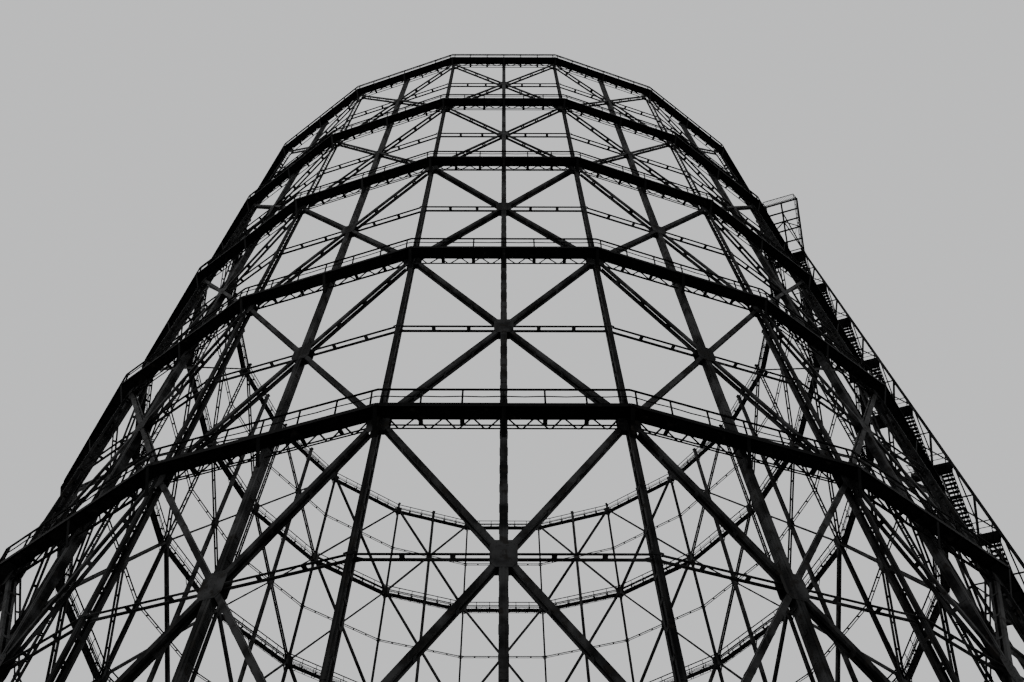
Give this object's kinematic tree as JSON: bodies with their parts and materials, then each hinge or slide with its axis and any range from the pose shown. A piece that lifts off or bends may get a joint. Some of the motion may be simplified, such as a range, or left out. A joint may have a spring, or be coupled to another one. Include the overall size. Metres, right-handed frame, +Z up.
{
  "type": "gas holder with column guide frame, 1:10 scale model",
  "caption": "Tall round guide frame of a gas holder: braced lattice sides between columns, ring walkways at each tier, an outside stair tower and the crown of the lowered bell.",
  "frame": {"origin": "middle of the holder at ground level, on the flat underside of the bell crown", "axes": "+Z up; the front side faces -Y; the stair tower stands on the fifth side counted from the front towards +X"},
  "size_m": [6.5372, 6.222, 8.395],
  "materials": {
    "column_paint": "satin, weathered near-black paint",
    "lattice_paint": "satin, weathered near-black paint",
    "walkway_paint": "matt, weathered near-black paint",
    "stair_paint": "satin, weathered dark grey paint",
    "crown_paint": "matt, weathered dark grey paint",
    "tank_concrete": "matt, rough concrete"
  },
  "bodies": {
    "root": {"side_01": "lattice_paint", "side_02": "lattice_paint", "side_03": "lattice_paint", "side_04": "lattice_paint", "side_05": "lattice_paint", "side_06": "lattice_paint", "side_07": "lattice_paint", "side_08": "lattice_paint", "side_09": "lattice_paint", "side_10": "lattice_paint", "side_11": "lattice_paint", "side_12": "lattice_paint", "side_13": "lattice_paint", "side_14": "lattice_paint", "side_15": "lattice_paint", "side_16": "lattice_paint", "side_17": "lattice_paint", "side_18": "lattice_paint", "side_19": "lattice_paint", "side_20": "lattice_paint", "column_01": "column_paint", "column_02": "column_paint", "column_03": "column_paint", "column_04": "column_paint", "column_05": "column_paint", "column_06": "column_paint", "column_07": "column_paint", "column_08": "column_paint", "column_09": "column_paint", "column_10": "column_paint", "column_11": "column_paint", "column_12": "column_paint", "column_13": "column_paint", "column_14": "column_paint", "column_15": "column_paint", "column_16": "column_paint", "column_17": "column_paint", "column_18": "column_paint", "column_19": "column_paint", "column_20": "column_paint", "walkway_1": "walkway_paint", "walkway_2": "walkway_paint", "walkway_3": "walkway_paint", "walkway_4": "walkway_paint", "walkway_5": "walkway_paint", "walkway_6": "walkway_paint", "stair_tier_1": "stair_paint", "stair_tier_2": "stair_paint", "stair_tier_3": "stair_paint", "stair_tier_4": "stair_paint", "stair_tier_5": "stair_paint", "stair_tier_6": "stair_paint", "stair_tower_near_frame": "stair_paint", "stair_tower_far_frame": "stair_paint", "top_platform": "stair_paint", "tank_wall": "tank_concrete", "bell_crown": "crown_paint"}
  },
  "joints": []
}
